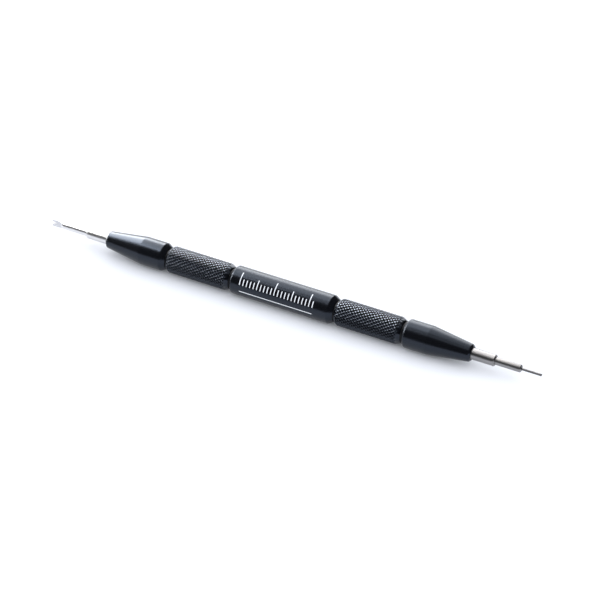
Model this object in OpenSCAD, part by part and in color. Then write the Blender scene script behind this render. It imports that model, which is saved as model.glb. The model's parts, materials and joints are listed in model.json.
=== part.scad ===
// Spring bar tool: a turned handle in five modules, with a forked tip at the -X end
// and a push pin at the +X end. The tool lies on the XY plane, its axis along X.
// Fitted diameters are built from the inside out, by walls and shoulders.

/* [Handle] */
// Diameter of the centre barrel and of the nose cylinders
handle_d = 7.5; // [6.5:0.1:9.5]
// How far the grips' surface lies below the barrel's
grip_step = 0.175; // [0:0.025:0.225]
// Length of the centre barrel
barrel_len = 30; // [20:0.5:60]
// Length of each grip
grip_len = 18.65; // [14:0.05:30]
// Length of the chamfer on the end of a module that faces the pin
pin_side_chamfer = 1.45; // [0.5:0.05:2]
// Length of the chamfer on the end of a module that faces the fork
fork_side_chamfer = 0.95; // [0.5:0.05:2]
// Gap between two modules, filled by a friction washer
joint_gap = 0.25; // [0.15:0.05:0.8]

/* [Noses] */
// Length of each tapered nose
nose_len = 18.5; // [15:0.1:28]
// Length of the straight part of a nose
nose_straight_len = 6.05; // [3:0.05:9]
// Width and length of the 45 degree chamfer round a nose's front face
nose_rim = 0.45; // [0.2:0.05:0.6]
// Width of a nose's flat front face, from its hole to the chamfer
nose_face_wall = 0.24; // [0.15:0.01:0.4]

/* [Joining studs] */
// Thread diameter of the studs that join the modules
stud_d = 4; // [3.2:0.1:4.8]
// Pitch of the stud thread
stud_pitch = 0.7; // [0.5:0.05:0.85]
// Length of each stud
stud_len = 9; // [7:0.5:11]
// Width across the flats of the hexagon socket in a stud
stud_hex_af = 2; // [1.5:0.1:2.4]
// Depth of the hexagon socket
stud_hex_depth = 2; // [1:0.1:3]
// Wall round a stud's hole at the end faces of a module
neck_wall = 0.85; // [0.6:0.05:1.05]
// How far the friction washers' rims lie below the rims of the end faces
joint_washer_inset = 0.15; // [0.05:0.05:0.3]

/* [Tip holders] */
// Wall between a spigot's hole and the root of the tail's thread
tail_wall = 0.147; // [0.1:0.001:0.25]
// Pitch of the tail thread
tail_pitch = 0.45; // [0.35:0.05:0.55]
// Length of the threaded tail
tail_len = 5; // [4:0.1:6.5]
// Shoulder between the tail's thread and the socket
socket_shoulder = 0.25; // [0.2:0.01:0.4]
// Length of a tip socket in front of the nose
socket_len = 6.3; // [5:0.1:10]
// How far the threaded bush and its hole reach beyond the socket, all round
bush_shoulder = 0.1; // [0.05:0.01:0.2]
// Length of the threaded bush beyond the tail's length
bush_spare = 1; // [0.5:0.1:1.5]
// Thickness of the washers under the tip sockets
tip_washer_t = 0.3; // [0.2:0.05:0.5]
// How deep a socket's root sits in the nose's recess
socket_seat = 0.11; // [0.05:0.01:0.3]

/* [Fork tip] */
// Length of the fork's shank in front of its socket, prongs included
fork_len = 11.2; // [9:0.1:16]
// Length of the flattened end of the fork
fork_flat_len = 2.4; // [2.2:0.1:4]
// Thickness of the flattened end
fork_blade_t = 0.6; // [0.4:0.05:0.9]
// Radius that the grinding wheel leaves where the flats begin
grind_r = 1.5; // [1:0.1:2]
// How far each prong flares beyond the shank
prong_flare = 0.1; // [0.05:0.05:0.3]
// Width of each prong at its end
prong_w = 0.55; // [0.3:0.05:0.7]
// Depth of the notch
fork_notch_depth = 1.5; // [1:0.1:2]

/* [Pin tip] */
// Diameter of the push pin
pin_d = 0.7; // [0.5:0.05:1]
// Length of push pin in front of its carrier
pin_len = 5.4; // [3:0.1:8]
// Length of the chamfer on the push pin's end
pin_chamfer = 0.1; // [0.05:0.05:0.2]
// How far the pin's root, inside its carrier, stands out beyond the pin
pin_root_step = 0.18; // [0.16:0.01:0.2]
// How far the push pin's head stands out beyond the pin
pin_head_step = 0.28; // [0.25:0.01:0.35]
// Length of the push pin's head
pin_head_len = 0.7; // [0.5:0.1:1]
// Length of the carrier in front of its socket
carrier_len = 6.9; // [5:0.1:10]
// Length of the close hole that guides the pin at the carrier's front
pin_guide_len = 3.45; // [2:0.05:4.5]
// Length of the grub screw behind the push pin
backing_len = 1.6; // [1:0.1:2]
// Pitch of the grub screw's thread
backing_pitch = 0.25; // [0.2:0.05:0.3]

/* [Spigots] */
// Wall of the carrier's hollow spigot round the push pin's head
spigot_wall = 0.21; // [0.17:0.01:0.3]
// Shoulder between a spigot and the shank or carrier in front of it
spigot_shoulder = 0.15; // [0.1:0.01:0.25]
// Length of a spigot, which is pressed into a socket
spigot_len = 4; // [3:0.1:5]
// Length of the chamfer on the ends of sockets and carrier
tip_chamfer = 0.2; // [0.1:0.05:0.3]

/* [Fits] */
// Depth left free behind what sits in a blind hole
hole_spare = 0.5; // [0.2:0.1:1]
// Radial clearance of a thread in its hole
thread_clearance = 0.05; // [0.03:0.01:0.08]
// Radial clearance of pieces that are pressed or bonded together
press_clearance = 0.01; // [0.005:0.005:0.03]
// Clearance at each face of a washer
face_clearance = 0.02; // [0.01:0.01:0.04]

/* [Hidden] */
$fn = 64;

thread_depth_ratio = 0.54;
end_overrun = 0.1;

// The handle's joints
axis_z = handle_d / 2;
grip_d = handle_d - 2 * grip_step;
stud_hole_d = stud_d + 2 * thread_clearance;
stud_hole_depth = stud_len / 2 + hole_spare;
neck_d = stud_hole_d + 2 * neck_wall;
joint_washer_d = neck_d - 2 * joint_washer_inset;
joint_washer_t = joint_gap - 2 * face_clearance;

// The tips, from the push pin outwards
pin_root_d = pin_d + 2 * pin_root_step;
pin_hole_d = pin_root_d + 2 * press_clearance;
pin_head_d = pin_d + 2 * pin_head_step;
head_hole_d = pin_head_d + 2 * press_clearance;
head_hole_depth = spigot_len + carrier_len - pin_guide_len;
spigot_d = head_hole_d + 2 * spigot_wall;
spigot_hole_d = spigot_d + 2 * press_clearance;
spigot_hole_depth = spigot_len + hole_spare;
shank_d = spigot_d + 2 * spigot_shoulder;
fork_w = shank_d + 2 * prong_flare;
fork_notch_w = fork_w - 2 * prong_w;

// The sockets, their bushes and the fronts of the noses
tail_d = spigot_hole_d + 2 * tail_wall + 2 * thread_depth_ratio * tail_pitch;
tail_hole_d = tail_d + 2 * thread_clearance;
socket_d = tail_d + 2 * socket_shoulder;
bush_d = socket_d + 2 * bush_shoulder;
bush_len = tail_len + bush_spare;
bush_hole_d = bush_d + 2 * press_clearance;
recess_depth = tip_washer_t + 2 * face_clearance + socket_seat;
bush_hole_depth = recess_depth + bush_len + hole_spare;
nose_face_d = bush_hole_d + 2 * nose_face_wall;
nose_front_d = nose_face_d + 2 * nose_rim;

// Places along X, worked out from the middle of the whole tool
fork_reach = fork_len + socket_len;
pin_reach = pin_len + carrier_len + socket_len;
handle_len = barrel_len + 2 * grip_len + 2 * nose_len + 4 * joint_gap;
fork_face_x = fork_reach - (fork_reach + handle_len + pin_reach) / 2;
fork_nose_end_x = fork_face_x + nose_len;
fork_grip_x = fork_nose_end_x + joint_gap;
fork_grip_end_x = fork_grip_x + grip_len;
barrel_x = fork_grip_end_x + joint_gap;
barrel_end_x = barrel_x + barrel_len;
pin_grip_x = barrel_end_x + joint_gap;
pin_grip_end_x = pin_grip_x + grip_len;
pin_nose_x = pin_grip_end_x + joint_gap;
pin_face_x = pin_nose_x + nose_len;
fork_socket_end_x = fork_face_x - socket_len;
pin_socket_end_x = pin_face_x + socket_len;

// Puts a shape whose own axis is +Z on the tool's axis at x, pointing to the pin
module to_pin(x) {
    translate([x, 0, axis_z]) rotate([0, 90, 0]) children();
}

// The same, pointing to the fork
module to_fork(x) {
    translate([x, 0, axis_z]) rotate([0, -90, 0]) children();
}

// A turned solid from [diameter, height] pairs, in order of height
module turned(outline) {
    last = len(outline) - 1;
    rotate_extrude()
        polygon(concat(
            [[0, outline[0][1]]],
            [for (p = outline) [p[0] / 2, p[1]]],
            [[0, outline[last][1]]]
        ));
}

// A hole of diameter d and depth h, running back from the face at height z
module blind_hole(d, z, h) {
    translate([0, 0, z - h]) cylinder(d = d, h = h + end_overrun);
}

// A hole of diameter d and depth h, running up from the face at height z
module rear_hole(d, z, h) {
    translate([0, 0, z - end_overrun]) cylinder(d = d, h = h + end_overrun);
}

// A threaded rod of whole ridges, its crests at diameter d
module threaded_rod(d, length, pitch) {
    turns = floor(length / pitch);
    step = length / turns;
    root_d = d - 2 * thread_depth_ratio * pitch;
    turned([for (i = [0 : 2 * turns]) [i % 2 == 0 ? root_d : d, i * step / 2]]);
}

// A straight module of the handle, standing on its fork-side face
module handle_module(d, length) {
    difference() {
        turned([
            [neck_d, 0],
            [d, fork_side_chamfer],
            [d, length - pin_side_chamfer],
            [neck_d, length]
        ]);
        rear_hole(stud_hole_d, 0, stud_hole_depth);
        blind_hole(stud_hole_d, length, stud_hole_depth);
    }
}

// A tapered nose, standing on its rear face, with the given chamfer behind its cylinder
module nose(rear_chamfer) {
    difference() {
        turned([
            [neck_d, 0],
            [handle_d, rear_chamfer],
            [handle_d, rear_chamfer + nose_straight_len],
            [nose_front_d, nose_len - nose_rim],
            [nose_face_d, nose_len]
        ]);
        rear_hole(stud_hole_d, 0, stud_hole_depth);
        blind_hole(bush_hole_d, nose_len, bush_hole_depth);
    }
}

// A headless stud with a hexagon socket in its upper end
module stud() {
    difference() {
        threaded_rod(stud_d, stud_len, stud_pitch);
        translate([0, 0, stud_len - stud_hex_depth])
            cylinder(d = stud_hex_af / cos(30), h = stud_hex_depth + end_overrun, $fn = 6);
    }
}

module washer(outer_d, inner_d, t) {
    difference() {
        cylinder(d = outer_d, h = t);
        translate([0, 0, -end_overrun]) cylinder(d = inner_d, h = t + 2 * end_overrun);
    }
}

// The threaded bush that lines the front hole of a nose
module tip_bush() {
    difference() {
        cylinder(d = bush_d, h = bush_len);
        translate([0, 0, -end_overrun]) cylinder(d = tail_hole_d, h = bush_len + 2 * end_overrun);
    }
}

// A tip socket; height 0 is the nose's front face and the tail runs back from it
module tip_socket() {
    difference() {
        union() {
            turned([
                [socket_d, -socket_seat],
                [socket_d, socket_len - tip_chamfer],
                [socket_d - 2 * tip_chamfer, socket_len]
            ]);
            translate([0, 0, -socket_seat - tail_len]) threaded_rod(tail_d, tail_len, tail_pitch);
        }
        blind_hole(spigot_hole_d, socket_len, spigot_hole_depth);
    }
}

module centre_barrel() {
    color("dimgray") to_pin(barrel_x) handle_module(handle_d, barrel_len);
}

module fork_grip() {
    color("darkslategray") to_pin(fork_grip_x) handle_module(grip_d, grip_len);
}

module pin_grip() {
    color("darkslategray") to_pin(pin_grip_x) handle_module(grip_d, grip_len);
}

module fork_nose() {
    color("dimgray") to_fork(fork_nose_end_x) nose(pin_side_chamfer);
}

module pin_nose() {
    color("dimgray") to_pin(pin_nose_x) nose(fork_side_chamfer);
}

// A stud centred in the gap that starts at x
module joint_stud(x) {
    color("silver") to_pin(x + joint_gap / 2 - stud_len / 2) stud();
}

// A friction washer in the gap that starts at x
module joint_washer(x) {
    color("black")
        to_pin(x + face_clearance) washer(joint_washer_d, stud_hole_d, joint_washer_t);
}

module fork_barrel_stud() {
    joint_stud(fork_grip_end_x);
}

module pin_barrel_stud() {
    joint_stud(barrel_end_x);
}

module fork_nose_stud() {
    joint_stud(fork_nose_end_x);
}

module pin_nose_stud() {
    joint_stud(pin_grip_end_x);
}

module fork_barrel_washer() {
    joint_washer(fork_grip_end_x);
}

module pin_barrel_washer() {
    joint_washer(barrel_end_x);
}

module fork_nose_washer() {
    joint_washer(fork_nose_end_x);
}

module pin_nose_washer() {
    joint_washer(pin_grip_end_x);
}

module fork_tip_bush() {
    color("goldenrod") to_fork(fork_face_x + recess_depth + bush_len) tip_bush();
}

module pin_tip_bush() {
    color("goldenrod") to_pin(pin_face_x - recess_depth - bush_len) tip_bush();
}

module fork_tip_washer() {
    color("black")
        to_fork(fork_face_x + recess_depth - face_clearance) washer(socket_d, tail_hole_d, tip_washer_t);
}

module pin_tip_washer() {
    color("black")
        to_pin(pin_face_x - recess_depth + face_clearance) washer(socket_d, tail_hole_d, tip_washer_t);
}

module fork_tip_socket() {
    color("silver") to_fork(fork_face_x) tip_socket();
}

module pin_tip_socket() {
    color("silver") to_pin(pin_face_x) tip_socket();
}

// The outline of the flattened end in its own plane, tip at height fork_len
module fork_outline() {
    root_z = fork_len - fork_flat_len;
    polygon([
        [-shank_d / 2, root_z],
        [-fork_w / 2, fork_len - fork_notch_depth],
        [-fork_w / 2, fork_len],
        [-fork_notch_w / 2, fork_len],
        [0, fork_len - fork_notch_depth],
        [fork_notch_w / 2, fork_len],
        [fork_w / 2, fork_len],
        [fork_w / 2, fork_len - fork_notch_depth],
        [shank_d / 2, root_z]
    ]);
}

// What the grinding wheel takes from one side of the shank to leave the flat
module flat_cut() {
    root_z = fork_len - fork_flat_len;
    translate([0, fork_blade_t / 2 + grind_r, root_z]) {
        rotate([0, 90, 0]) cylinder(r = grind_r, h = 2 * shank_d, center = true);
        translate([-shank_d, -grind_r, 0]) cube([2 * shank_d, 2 * grind_r, fork_flat_len + end_overrun]);
    }
}

module fork_blade() {
    color("lightgray") to_fork(fork_socket_end_x) {
        difference() {
            turned([
                [spigot_d, -spigot_len],
                [spigot_d, 0],
                [shank_d, 0],
                [shank_d, fork_len - fork_notch_depth]
            ]);
            flat_cut();
            mirror([0, 1, 0]) flat_cut();
        }
        rotate([90, 0, 0])
            linear_extrude(height = fork_blade_t, center = true) fork_outline();
    }
}

// The hollow carrier that holds the push pin; height 0 is its socket's front face
module pin_carrier() {
    color("silver") to_pin(pin_socket_end_x)
        difference() {
            turned([
                [spigot_d, -spigot_len],
                [spigot_d, 0],
                [shank_d, 0],
                [shank_d, carrier_len - tip_chamfer],
                [shank_d - 2 * tip_chamfer, carrier_len]
            ]);
            blind_hole(pin_hole_d, carrier_len, carrier_len);
            rear_hole(head_hole_d, -spigot_len, head_hole_depth);
        }
}

module push_pin() {
    head_z = head_hole_depth - spigot_len - pin_head_len - press_clearance;
    color("gray") to_pin(pin_socket_end_x)
        turned([
            [pin_head_d, head_z],
            [pin_head_d, head_z + pin_head_len],
            [pin_root_d, head_z + pin_head_len],
            [pin_root_d, carrier_len],
            [pin_d, carrier_len],
            [pin_d, carrier_len + pin_len - pin_chamfer],
            [pin_d - 2 * pin_chamfer, carrier_len + pin_len]
        ]);
}

module pin_backing_screw() {
    top_z = head_hole_depth - spigot_len - pin_head_len - 2 * press_clearance;
    color("silver") to_pin(pin_socket_end_x + top_z - backing_len)
        threaded_rod(pin_head_d, backing_len, backing_pitch);
}

centre_barrel();
fork_grip();
pin_grip();
fork_nose();
pin_nose();
fork_barrel_stud();
pin_barrel_stud();
fork_nose_stud();
pin_nose_stud();
fork_barrel_washer();
pin_barrel_washer();
fork_nose_washer();
pin_nose_washer();
fork_tip_bush();
pin_tip_bush();
fork_tip_washer();
pin_tip_washer();
fork_tip_socket();
pin_tip_socket();
fork_blade();
pin_carrier();
push_pin();
pin_backing_screw();
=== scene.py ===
import json
import math

import bpy
from mathutils import Matrix, Vector


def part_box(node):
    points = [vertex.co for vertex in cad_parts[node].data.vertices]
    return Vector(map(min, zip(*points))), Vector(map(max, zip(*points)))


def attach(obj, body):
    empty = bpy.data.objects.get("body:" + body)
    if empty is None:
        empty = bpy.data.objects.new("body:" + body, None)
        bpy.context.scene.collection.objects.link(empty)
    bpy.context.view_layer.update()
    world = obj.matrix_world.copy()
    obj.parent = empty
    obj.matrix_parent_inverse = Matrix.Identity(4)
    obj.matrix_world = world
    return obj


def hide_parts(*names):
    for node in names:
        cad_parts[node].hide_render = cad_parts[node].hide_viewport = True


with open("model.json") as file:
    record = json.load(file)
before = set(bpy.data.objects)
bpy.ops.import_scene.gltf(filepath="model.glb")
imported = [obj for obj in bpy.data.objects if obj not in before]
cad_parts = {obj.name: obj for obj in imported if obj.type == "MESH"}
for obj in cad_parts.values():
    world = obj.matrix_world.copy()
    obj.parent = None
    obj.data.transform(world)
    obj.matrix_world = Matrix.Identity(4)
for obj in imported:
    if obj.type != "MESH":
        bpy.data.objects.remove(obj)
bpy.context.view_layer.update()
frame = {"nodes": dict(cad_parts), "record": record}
mm = 0.001


axisHeight = (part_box("centre_barrel")[0].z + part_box("centre_barrel")[1].z) / 2
bpy.context.scene.view_settings.view_transform = "Standard"

shot = {
    "azimuth": 27.8,  # degrees round from straight in front
    "elevation": 36.6,
    "distance": 608 * mm,
    "lens": 142.6,
    "right": 3.35 * mm,  # how far the aim lies to the right of the tool's middle
    "down": 1.25 * mm,
    "nearest": 10 * mm,
}


def setCamera():
    turn, tilt = math.radians(shot["azimuth"]), math.radians(shot["elevation"])
    level = math.cos(tilt)
    back = Vector((math.sin(turn) * level, -math.cos(turn) * level, math.sin(tilt)))
    right = Vector((math.cos(turn), math.sin(turn), 0))
    aim = Vector((0, 0, axisHeight)) + right * shot["right"] - back.cross(right) * shot["down"]
    bpy.ops.object.camera_add(location=aim + back * shot["distance"])
    camera = bpy.context.object
    camera.rotation_euler = (math.pi / 2 - tilt, 0, turn)
    camera.data.lens = shot["lens"]
    camera.data.clip_start = shot["nearest"]
    bpy.context.scene.camera = camera


def linear(hexColour):
    channels = [int(hexColour[i:i + 2], 16) / 255 for i in (1, 3, 5)]
    return [c / 12.92 if c <= 0.04045 else ((c + 0.055) / 1.055) ** 2.4 for c in channels] + [1]


def startMaterial(name):
    material = bpy.data.materials.new(name)
    material.use_nodes = True
    return material, material.node_tree.nodes["Principled BSDF"]


def addNode(material, kind, settings=None, links=None):
    # settings are sockets or properties by name; links are socket: (other node, its output)
    node = material.node_tree.nodes.new(kind)
    for key, value in (settings or {}).items():
        if key in node.inputs:
            node.inputs[key].default_value = value
        else:
            setattr(node, key, value)
    for socket, (other, output) in (links or {}).items():
        material.node_tree.links.new(other.outputs[output], node.inputs[socket])
    return node


def joinTo(material, node, output, target, socket):
    material.node_tree.links.new(node.outputs[output], target.inputs[socket])


anodising = {
    "ior": 1.47,  # of the sealed oxide
    "sheen": "#d6e6ff",
    "ringWidth": 0.12 * mm,
    "ringStretch": 0.02,  # how much slower the rings vary round the axis than along it
    "grainSize": 0.06 * mm,
    "roughnessSwing": 0.03,
    "bump": 0.1,
}


def anodisedAluminium(name, colour, roughness, grainDepth):
    # dyed oxide over turned aluminium: near black, with a cool satin sheen and faint lathe rings
    material, shader = startMaterial(name)
    shader.inputs["Base Color"].default_value = linear(colour)
    shader.inputs["IOR"].default_value = anodising["ior"]
    shader.inputs["Specular Tint"].default_value = linear(anodising["sheen"])
    place = addNode(material, "ShaderNodeTexCoord")
    around = anodising["ringStretch"]
    stretch = addNode(material, "ShaderNodeMapping", {"Scale": (1, around, around)},
                      {"Vector": (place, "Object")})
    rings = addNode(material, "ShaderNodeTexNoise",
                    {"Scale": 1 / anodising["ringWidth"], "Detail": 2},
                    {"Vector": (stretch, "Vector")})
    grain = addNode(material, "ShaderNodeTexNoise",
                    {"Scale": 1 / anodising["grainSize"], "Detail": 3},
                    {"Vector": (place, "Object")})
    swing = anodising["roughnessSwing"]
    rough = addNode(material, "ShaderNodeMapRange",
                    {"To Min": roughness - swing, "To Max": roughness + swing},
                    {"Value": (rings, "Fac")})
    bump = addNode(material, "ShaderNodeBump",
                   {"Strength": anodising["bump"], "Distance": grainDepth},
                   {"Height": (grain, "Fac")})
    joinTo(material, rough, "Result", shader, "Roughness")
    joinTo(material, bump, "Normal", shader, "Normal")
    return material


lathework = {"ringStretch": 0.03, "roughnessSwing": 0.06, "bump": 0.1, "ringDepth": 0.004 * mm}


def turnedMetal(name, colour, roughness, ringWidth):
    # bare or plated metal from the lathe: fine rings round the axis, seen as soft streaks of gloss
    material, shader = startMaterial(name)
    shader.inputs["Base Color"].default_value = linear(colour)
    shader.inputs["Metallic"].default_value = 1
    place = addNode(material, "ShaderNodeTexCoord")
    around = lathework["ringStretch"]
    stretch = addNode(material, "ShaderNodeMapping", {"Scale": (1, around, around)},
                      {"Vector": (place, "Object")})
    rings = addNode(material, "ShaderNodeTexNoise", {"Scale": 1 / ringWidth, "Detail": 3},
                    {"Vector": (stretch, "Vector")})
    swing = lathework["roughnessSwing"]
    rough = addNode(material, "ShaderNodeMapRange",
                    {"To Min": roughness - swing, "To Max": roughness + swing},
                    {"Value": (rings, "Fac")})
    bump = addNode(material, "ShaderNodeBump",
                   {"Strength": lathework["bump"], "Distance": lathework["ringDepth"]},
                   {"Height": (rings, "Fac")})
    joinTo(material, rough, "Result", shader, "Roughness")
    joinTo(material, bump, "Normal", shader, "Normal")
    return material


glossSwing = 0.05


def plainFinish(name, colour, roughness, grainSize):
    # moulded nylon or enamel: an even colour with a fine grain in its gloss
    material, shader = startMaterial(name)
    shader.inputs["Base Color"].default_value = linear(colour)
    place = addNode(material, "ShaderNodeTexCoord")
    grain = addNode(material, "ShaderNodeTexNoise", {"Scale": 1 / grainSize, "Detail": 2},
                    {"Vector": (place, "Object")})
    rough = addNode(material, "ShaderNodeMapRange",
                    {"To Min": roughness - glossSwing, "To Max": roughness + glossSwing},
                    {"Value": (grain, "Fac")})
    joinTo(material, rough, "Result", shader, "Roughness")
    return material


satinBlack = anodisedAluminium("satin black anodised aluminium", "#08080a", 0.22, 0.003 * mm)
knurledBlack = anodisedAluminium("knurled black anodised aluminium", "#050507", 0.1, 0.001 * mm)
# one nickel plating in two copies: painted darker as shade for the pin end, and painted lighter as
# light for the fork end
nickelShadedCopy = turnedMetal("nickel plated steel, painted shaded copy", "#908e8e", 0.32, 0.08 * mm)
nickelLitCopy = turnedMetal("nickel plated steel, painted lit copy", "#dad9d9", 0.3, 0.08 * mm)
groundSteel = turnedMetal("ground hardened steel", "#dedddd", 0.3, 0.06 * mm)
# where the painted shade on the fork's flats begins, how soft its edge is, and its colour
flatShade = {"edge": -68.1 * mm, "blend": 0.3 * mm, "colour": "#cbcbcd"}


def paintFlatShade(material):
    # painted shade: the fork's flats get a greyer colour than its round shank, for the duller
    # light the flat faces mirror
    shader = material.node_tree.nodes["Principled BSDF"]
    place = addNode(material, "ShaderNodeTexCoord")
    parts = addNode(material, "ShaderNodeSeparateXYZ", None, {"Vector": (place, "Object")})
    share = addNode(material, "ShaderNodeMapRange",
                    {"From Min": flatShade["edge"], "From Max": flatShade["edge"] + flatShade["blend"]},
                    {"Value": (parts, "X")})
    colours = addNode(material, "ShaderNodeMix", {"data_type": "RGBA"},
                      {"Factor": (share, "Result")})
    # a Mix node has an A, a B and a Result for each kind of value, so its colours go by number
    colourA, colourB, colourResult = 6, 7, 2
    colours.inputs[colourA].default_value = linear(flatShade["colour"])
    colours.inputs[colourB].default_value = list(shader.inputs["Base Color"].default_value)
    joinTo(material, colours, colourResult, shader, "Base Color")


# the fork steel gets painted shade on its flats
paintFlatShade(groundSteel)
drawnWire = turnedMetal("drawn tempered steel wire", "#7f7e7f", 0.3, 0.05 * mm)
stainless = turnedMetal("machined stainless steel", "#b9b8b6", 0.3, 0.07 * mm)
brass = turnedMetal("machined brass", "#c9a45c", 0.28, 0.08 * mm)
blackNylon = plainFinish("black nylon", "#08080a", 0.45, 0.05 * mm)
whiteFill = plainFinish("white engraving enamel", "#eef0f2", 0.5, 0.05 * mm)

finishOf = {
    "barrel": satinBlack,
    "grip": knurledBlack,
    "nose": satinBlack,
    "stud": stainless,
    "washer": blackNylon,
    "bush": brass,
    "tip_holder": nickelShadedCopy,
    "fork_steel": groundSteel,
    "pin_steel": drawnWire,
    "mark": whiteFill,
}


def finishNodes():
    for part in frame["record"]["subparts"]:
        node = frame["nodes"][part["node"]]
        node.data.materials.clear()
        node.data.materials.append(finishOf[part["material_slot"]])


def deselectAll():
    if bpy.context.object and bpy.context.object.mode != "OBJECT":
        bpy.ops.object.mode_set(mode="OBJECT")
    bpy.ops.object.select_all(action="DESELECT")


def choose(piece):
    deselectAll()
    piece.select_set(True)
    bpy.context.view_layer.objects.active = piece


def editAll(piece):
    choose(piece)
    bpy.ops.object.mode_set(mode="EDIT")
    bpy.ops.mesh.select_all(action="SELECT")


def settle(piece):
    # the piece's place goes into its mesh, and its object to the origin
    choose(piece)
    bpy.ops.object.transform_apply(location=True, rotation=True, scale=True)


def applyModifier(piece, kind, **settings):
    choose(piece)
    modifier = piece.modifiers.new(kind.title(), kind)
    for key, value in settings.items():
        setattr(modifier, key, value)
    bpy.ops.object.modifier_apply(modifier=modifier.name)


def finishPiece(piece, name, material, body):
    settle(piece)
    piece.name = name
    piece.data.name = name
    piece.data.materials.clear()
    piece.data.materials.append(material)
    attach(piece, body)


# The turned pieces: an outline is a list of (x, radius), from axis to axis, and a third value
# rounds that corner by so much
turning = {
    "steps": 96,
    "smoothAngle": 25,
    "cornerSegments": 3,
    "findWithin": 0.001 * mm,  # a corner's point is looked for this close to its place
    "weld": 0.0005 * mm,
}


def drawOutline(outline):
    bpy.ops.mesh.primitive_plane_add(size=mm)
    piece = bpy.context.object
    editAll(piece)
    bpy.ops.mesh.merge(type="CENTER")
    bpy.ops.mesh.select_all(action="SELECT")
    last = Vector()
    for point in outline:
        place = Vector((point[0], 0, axisHeight + point[1]))
        if point is outline[0]:
            bpy.ops.transform.translate(value=place)
        else:
            bpy.ops.mesh.extrude_vertices_move(TRANSFORM_OT_translate={"value": place - last})
        last = place
    bpy.ops.object.mode_set(mode="OBJECT")
    return piece


def softenCorners(piece, outline):
    rounded = [point for point in outline if len(point) > 2]
    for width in sorted({corner[2] for corner in rounded}):
        editAll(piece)
        bpy.ops.mesh.select_all(action="DESELECT")
        bpy.ops.object.mode_set(mode="OBJECT")
        for x, radius in [corner[:2] for corner in rounded if corner[2] == width]:
            place = Vector((x, 0, axisHeight + radius))
            for vertex in piece.data.vertices:
                near = (vertex.co - place).length < turning["findWithin"]
                vertex.select = vertex.select or near
        bpy.ops.object.mode_set(mode="EDIT")
        bpy.ops.mesh.bevel(offset=width, segments=turning["cornerSegments"], affect="VERTICES")
    bpy.ops.object.mode_set(mode="OBJECT")


def turnPiece(outline):
    deselectAll()
    piece = drawOutline(outline)
    softenCorners(piece, outline)
    editAll(piece)
    bpy.ops.mesh.spin(steps=turning["steps"], angle=2 * math.pi,
                      center=(0, 0, axisHeight), axis=(1, 0, 0))
    bpy.ops.mesh.select_all(action="SELECT")
    bpy.ops.mesh.remove_doubles(threshold=turning["weld"])
    bpy.ops.mesh.normals_make_consistent(inside=False)
    bpy.ops.object.mode_set(mode="OBJECT")
    bpy.ops.object.shade_smooth_by_angle(angle=math.radians(turning["smoothAngle"]))
    applyModifier(piece, "WEIGHTED_NORMAL", keep_sharp=True)
    return piece


handle = {
    "neck": 2.9 * mm,  # radii
    "boreRadius": 2.05 * mm,
    "boreDepth": 5 * mm,
    "pinSideChamfer": 1.45 * mm,
    "forkSideChamfer": 0.95 * mm,
    "soft": 0.07 * mm,  # how far the edges of the outside are rounded
    "neckSoft": 0.04 * mm,
}


def makeBarrel():
    low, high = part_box("centre_barrel")
    radius = (high.z - low.z) / 2
    outline = [
        (low.x + handle["boreDepth"], 0),
        (low.x + handle["boreDepth"], handle["boreRadius"]),
        (low.x, handle["boreRadius"]),
        (low.x, handle["neck"], handle["neckSoft"]),
        (low.x + handle["forkSideChamfer"], radius, handle["soft"]),
        (high.x - handle["pinSideChamfer"], radius, handle["soft"]),
        (high.x, handle["neck"], handle["neckSoft"]),
        (high.x, handle["boreRadius"]),
        (high.x - handle["boreDepth"], handle["boreRadius"]),
        (high.x - handle["boreDepth"], 0),
    ]
    barrel = turnPiece(outline)
    finishPiece(barrel, "barrelTurned", satinBlack, "handle")
    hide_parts("centre_barrel")


nose = {
    "straight": 6.05 * mm,
    "frontRadius": 2.3 * mm,
    "faceRadius": 1.85 * mm,
    "rim": 0.45 * mm,
    "bushRadius": 1.61 * mm,
    "bushDepth": 6.95 * mm,
    "taperSoft": 0.06 * mm,
    "rimSoft": 0.05 * mm,
    "faceSoft": 0.03 * mm,
}


def makeNose(node, body, toPin):
    # toPin is 1 for the nose whose front faces +X and -1 for the other
    low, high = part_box(node)
    radius = (high.z - low.z) / 2
    rear, front = (low.x, high.x) if toPin > 0 else (high.x, low.x)
    chamfer = handle["forkSideChamfer"] if toPin > 0 else handle["pinSideChamfer"]
    outline = [
        (rear + toPin * handle["boreDepth"], 0),
        (rear + toPin * handle["boreDepth"], handle["boreRadius"]),
        (rear, handle["boreRadius"]),
        (rear, handle["neck"], handle["neckSoft"]),
        (rear + toPin * chamfer, radius, handle["soft"]),
        (rear + toPin * (chamfer + nose["straight"]), radius, nose["taperSoft"]),
        (front - toPin * nose["rim"], nose["frontRadius"], nose["rimSoft"]),
        (front, nose["faceRadius"], nose["faceSoft"]),
        (front, nose["bushRadius"]),
        (front - toPin * nose["bushDepth"], nose["bushRadius"]),
        (front - toPin * nose["bushDepth"], 0),
    ]
    piece = turnPiece(outline)
    finishPiece(piece, node + "_turned", satinBlack, body)
    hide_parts(node)


# The knurl is one blunt pyramid on a slanted cell, repeated both ways into a strip of one turn,
# bent round the axis and trimmed by the grip's own turned blank
knurl = {
    "downStarts": 23,  # ridges round the grip that lean one way
    "upStarts": 22,
    "downPitch": 0.942 * mm,  # distance between those ridges along the axis
    "upPitch": 1.408 * mm,
    "depth": 0.25 * mm,
    "crestAbove": 0.02 * mm,  # trimmed off again by the blank
    "topWidth": 0.05 * mm,
    "overlap": 0.5 * mm,  # how far the strip runs past each end of the grip
    "smoothAngle": 20,
    "weld": 0.001 * mm,
    "cutWithin": 0.00001 * mm,
}


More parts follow.
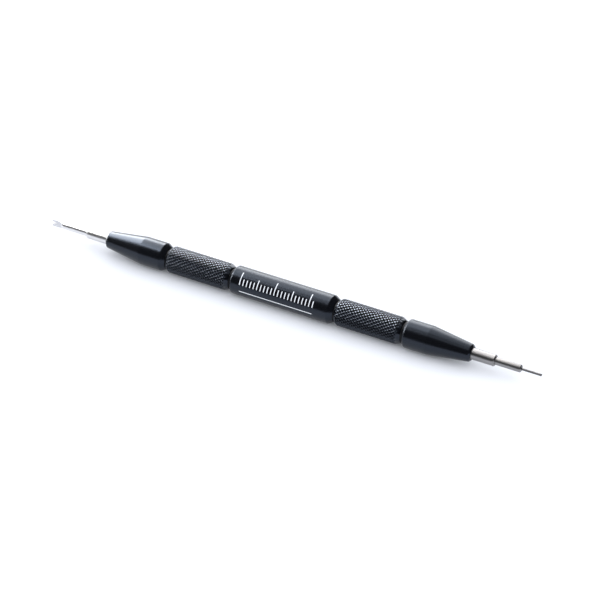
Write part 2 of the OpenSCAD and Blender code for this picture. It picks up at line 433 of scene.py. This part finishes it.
def knurlCell(stepOne, stepTwo):
    bpy.ops.mesh.primitive_plane_add(size=2 * mm, rotation=(math.pi / 2, 0, 0))
    cell = bpy.context.object
    settle(cell)
    for vertex in cell.data.vertices:
        alongOne, alongTwo = vertex.co.x > 0, vertex.co.z > 0
        vertex.co = stepOne * alongOne + stepTwo * alongTwo
    editAll(cell)
    if stepOne.cross(stepTwo).y > 0:
        bpy.ops.mesh.flip_normals()
    width = abs(stepOne.cross(stepTwo).y) / max(stepOne.length, stepTwo.length)
    bpy.ops.mesh.inset(thickness=(width - knurl["topWidth"]) / 2,
                       depth=knurl["depth"] + knurl["crestAbove"])
    bpy.ops.mesh.select_all(action="SELECT")
    bpy.ops.mesh.subdivide(number_cuts=1)
    bpy.ops.object.mode_set(mode="OBJECT")
    return cell


def cutSheet(sheet, place, normal):
    # keeps what lies behind the plane
    editAll(sheet)
    bpy.ops.mesh.bisect(plane_co=place, plane_no=normal, clear_outer=True,
                        threshold=knurl["cutWithin"])
    bpy.ops.object.mode_set(mode="OBJECT")


def knurlRod(radius, length):
    rootRadius = radius - knurl["depth"]
    around = 2 * math.pi * rootRadius
    downX, downZ = 1 / knurl["downPitch"], knurl["downStarts"] / around
    upX, upZ = 1 / knurl["upPitch"], -knurl["upStarts"] / around
    share = downX * upZ - downZ * upX
    stepOne = Vector((upZ, 0, -upX)) / share
    stepTwo = Vector((-downZ, 0, downX)) / share
    sheet = knurlCell(stepOne, stepTwo)
    sheet.location = stepTwo * (-knurl["upStarts"] - 1) - stepOne
    settle(sheet)
    oneCount = math.ceil(downX * length) + knurl["downStarts"] + 2
    twoCount = math.ceil(upX * length) + knurl["upStarts"] + 2
    for step, count in ((stepOne, oneCount), (stepTwo, twoCount)):
        applyModifier(sheet, "ARRAY", count=count, use_relative_offset=False,
                      use_constant_offset=True, constant_offset_displace=step)
    editAll(sheet)
    bpy.ops.mesh.remove_doubles(threshold=knurl["weld"])
    bpy.ops.object.mode_set(mode="OBJECT")
    cutSheet(sheet, (0, 0, 0), (-1, 0, 0))
    cutSheet(sheet, (length, 0, 0), (1, 0, 0))
    cutSheet(sheet, (0, 0, 0), (0, 0, -1))
    cutSheet(sheet, (0, 0, around), (0, 0, 1))
    applyModifier(sheet, "SIMPLE_DEFORM", deform_method="BEND", deform_axis="X",
                  angle=2 * math.pi)
    editAll(sheet)
    bpy.ops.mesh.remove_doubles(threshold=knurl["weld"])
    bpy.ops.mesh.select_all(action="DESELECT")
    bpy.ops.mesh.select_non_manifold(extend=False)
    bpy.ops.mesh.fill_holes(sides=0)
    bpy.ops.mesh.select_all(action="SELECT")
    bpy.ops.mesh.normals_make_consistent(inside=False)
    bpy.ops.object.mode_set(mode="OBJECT")
    return sheet, rootRadius


def makeGrip(node):
    low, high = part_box(node)
    radius = (high.z - low.z) / 2
    length = high.x - low.x + 2 * knurl["overlap"]
    outline = [
        (low.x + handle["boreDepth"], 0),
        (low.x + handle["boreDepth"], handle["boreRadius"]),
        (low.x, handle["boreRadius"]),
        (low.x, handle["neck"]),
        (low.x + handle["forkSideChamfer"], radius),
        (high.x - handle["pinSideChamfer"], radius),
        (high.x, handle["neck"]),
        (high.x, handle["boreRadius"]),
        (high.x - handle["boreDepth"], handle["boreRadius"]),
        (high.x - handle["boreDepth"], 0),
    ]
    blank = turnPiece(outline)
    rod, rootRadius = knurlRod(radius, length)
    rod.location = (low.x - knurl["overlap"], -rootRadius, 0)
    settle(rod)
    rod.location = (0, 0, axisHeight)
    rod.rotation_euler = (math.pi / 2, 0, 0)
    settle(rod)
    applyModifier(rod, "BOOLEAN", object=blank, operation="INTERSECT", solver="MANIFOLD")
    bpy.data.objects.remove(blank)
    choose(rod)
    bpy.ops.object.shade_smooth_by_angle(angle=math.radians(knurl["smoothAngle"]))
    finishPiece(rod, node + "_knurled", knurledBlack, "handle")
    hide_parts(node)
    return rod


# A row of engraved graduations over a long fine line, filled white, on the barrel's front
scale = {
    "first": -12 * mm,
    "count": 22,
    "spacing": 1 * mm,
    "lineWidth": 0.24 * mm,
    "heights": (3.5 * mm, 1.7 * mm, 2.6 * mm),  # tens, ones, fives
    "foot": 22,  # degrees above the horizontal where every line starts
    "underline": -8,
    "proud": 0.006 * mm,
    "thickness": 0.03 * mm,
    "stepLength": 0.2 * mm,
}


def engrave(x, width, foot, height, radius):
    # a bar of the enamel's section, spun upwards round the barrel's axis
    bpy.ops.mesh.primitive_plane_add(size=1, location=(x, 0, radius), rotation=(math.pi / 2, 0, 0))
    line = bpy.context.object
    line.scale = (width, scale["thickness"], 1)
    settle(line)
    line.location = (0, 0, axisHeight)
    line.rotation_euler = (math.radians(90 - foot), 0, 0)
    settle(line)
    editAll(line)
    bpy.ops.mesh.spin(steps=max(1, round(height / scale["stepLength"])), angle=height / radius,
                      center=(0, 0, axisHeight), axis=(1, 0, 0))
    bpy.ops.mesh.select_all(action="SELECT")
    bpy.ops.mesh.normals_make_consistent(inside=False)
    bpy.ops.object.mode_set(mode="OBJECT")
    return line


def makeScale():
    low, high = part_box("centre_barrel")
    radius = (high.z - low.z) / 2 + scale["proud"] - scale["thickness"] / 2
    lines = []
    for i in range(scale["count"]):
        kind = 0 if i % 10 == 0 else 2 if i % 5 == 0 else 1
        x = scale["first"] + i * scale["spacing"]
        lines.append(engrave(x, scale["lineWidth"], scale["foot"], scale["heights"][kind], radius))
    length = (scale["count"] - 1) * scale["spacing"]
    middle = scale["first"] + length / 2
    lines.append(engrave(middle, length, scale["underline"], scale["lineWidth"], radius))
    deselectAll()
    for line in lines:
        line.select_set(True)
    bpy.context.view_layer.objects.active = lines[0]
    bpy.ops.object.join()
    finishPiece(lines[0], "graduations", whiteFill, "handle")


# A tip socket: a collar in front of its threaded tail, drilled for the spigot
socket = {
    "tailLength": 5 * mm,
    "tailRadius": 1.25 * mm,
    "threadRoot": 1.007 * mm,
    "turns": 11,
    "radius": 1.5 * mm,
    "seat": 0.11 * mm,
    "length": 6.3 * mm,
    "chamfer": 0.2 * mm,
    "boreRadius": 0.86 * mm,
    "boreDepth": 4.5 * mm,
    "soft": 0.04 * mm,
}


def makeSocket(node, body, toPin, material):
    low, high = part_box(node)
    rear, front = (low.x, high.x) if toPin > 0 else (high.x, low.x)
    back = front - toPin * (socket["length"] + socket["seat"])
    outline = [(rear, 0)]
    for i in range(2 * socket["turns"] + 1):
        ridge = socket["tailRadius"] if i % 2 else socket["threadRoot"]
        outline.append((rear + (back - rear) * i / (2 * socket["turns"]), ridge))
    outline += [
        (back, socket["radius"]),
        (front - toPin * socket["chamfer"], socket["radius"], socket["soft"]),
        (front, socket["radius"] - socket["chamfer"], socket["soft"]),
        (front, socket["boreRadius"]),
        (front - toPin * socket["boreDepth"], socket["boreRadius"]),
        (front - toPin * socket["boreDepth"], 0),
    ]
    piece = turnPiece(outline)
    finishPiece(piece, node + "_turned", material, body)
    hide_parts(node)


# The carrier: a thinner collar on a spigot, bored for the pin from behind
carrier = {
    "radius": 1 * mm,
    "chamfer": 0.2 * mm,
    "length": 6.9 * mm,
    "spigotRadius": 0.85 * mm,
    "headRadius": 0.64 * mm,
    "guideRadius": 0.54 * mm,
    "guideLength": 3.45 * mm,
    "soft": 0.03 * mm,
}


def makeCarrier():
    low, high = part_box("pin_carrier")
    guide = high.x - carrier["guideLength"]
    outline = [
        (low.x, carrier["headRadius"]),
        (low.x, carrier["spigotRadius"]),
        (high.x - carrier["length"], carrier["spigotRadius"]),
        (high.x - carrier["length"], carrier["radius"]),
        (high.x - carrier["chamfer"], carrier["radius"], carrier["soft"]),
        (high.x, carrier["radius"] - carrier["chamfer"], carrier["soft"]),
        (high.x, carrier["guideRadius"]),
        (guide, carrier["guideRadius"]),
        (guide, carrier["headRadius"]),
        (low.x, carrier["headRadius"]),
    ]
    piece = turnPiece(outline)
    finishPiece(piece, "pinCarrierTurned", nickelShadedCopy, "pin_tip")
    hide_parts("pin_carrier")


print("materials ready")
setCamera()
finishNodes()
print("camera and CAD finishes set")
makeBarrel()
makeNose("fork_nose", "fork_nose", -1)
makeNose("pin_nose", "pin_nose", 1)
makeSocket("fork_tip_socket", "fork_tip", -1, nickelLitCopy)
makeSocket("pin_tip_socket", "pin_tip", 1, nickelShadedCopy)
makeCarrier()
print("handle and tips turned")
for node in ("fork_grip", "pin_grip"):
    grip = makeGrip(node)
    print(node, "knurled,", len(grip.data.polygons), "faces")

makeScale()
print("graduations engraved")

# Plain floor and soft studio light
studio = {
    "floorSize": 6,
    "floorColour": "#f4f4f4",
    "floorRoughness": 0.9,
    "floorSpecular": 0.2,
    "worldColour": "#8a8d92",
    "worldStrength": 0.25,
    "skySize": 6,
    "skyHeight": 0.6,
    "sky": 1.4,
    "skyColour": "#f2f6ff",
    # name, place, aim, direction of the width, width, height, radiance
    "panels": [
        ("topPanel", (-0.3, -0.17, 0.68), (-0.3, 0, 0), (1, 0, 0), 1.1, 0.35, 0.8),
        ("backPanel", (-0.42, 0.318, 0.624), (-0.42, 0, 0), (1, 0, 0), 0.8, 0.7, 2.8),
        ("backLowPanel", (-0.36, 0.64, 0.29), (-0.36, 0, 0), (1, 0, 0), 0.6, 0.42, 5),
        ("leftPanel", (-0.545, 0.275, 0.59), (0, 0, 0), (0, -0.906, 0.423), 1.25, 0.24, 11),
        ("leftLowPanel", (-0.8, 0.06, 0.175), (0, 0, 0), (0, 0.93, 0.37), 0.64, 0.18, 40),
    ],
}


def makeFloor():
    deselectAll()
    bpy.ops.mesh.primitive_plane_add(size=studio["floorSize"])
    floor = bpy.context.object
    floor.name = "floor"
    material, shader = startMaterial("matt white paper")
    shader.inputs["Base Color"].default_value = linear(studio["floorColour"])
    shader.inputs["Roughness"].default_value = studio["floorRoughness"]
    shader.inputs["Specular IOR Level"].default_value = studio["floorSpecular"]
    floor.data.materials.append(material)


def softbox(name, place, aim, along, width, height, radiance):
    # a lit panel at place that faces aim, its width running along the given direction
    bpy.ops.object.light_add(type="AREA", location=place)
    light = bpy.context.object
    light.name = name
    light.data.shape = "RECTANGLE"
    light.data.size = width
    light.data.size_y = height
    light.data.energy = radiance * math.pi * width * height
    out = (Vector(place) - Vector(aim)).normalized()
    side = Vector(along)
    side = (side - out * side.dot(out)).normalized()
    light.rotation_euler = Matrix((side, out.cross(side), out)).transposed().to_euler()
    return light


def lightStudio():
    # a wide ceiling lights the paper, and the panels are what the metal mirrors; the low left
    # one makes the knurl glint, and smooth metal seen from an end mirrors it too strongly
    world = bpy.data.worlds.new("studio")
    bpy.context.scene.world = world
    world.use_nodes = True
    surroundings = world.node_tree.nodes["Background"]
    surroundings.inputs["Color"].default_value = linear(studio["worldColour"])
    surroundings.inputs["Strength"].default_value = studio["worldStrength"]
    ceiling = softbox("ceiling", (0, 0, studio["skyHeight"]), (0, 0, 0), (1, 0, 0),
                      studio["skySize"], studio["skySize"], studio["sky"])
    ceiling.data.color = linear(studio["skyColour"])[:3]
    ceiling.visible_glossy = False
    for name, place, aim, along, width, height, radiance in studio["panels"]:
        panel = softbox(name, place, aim, along, width, height, radiance)
        panel.visible_diffuse = False


makeFloor()
lightStudio()
print("floor and light ready")
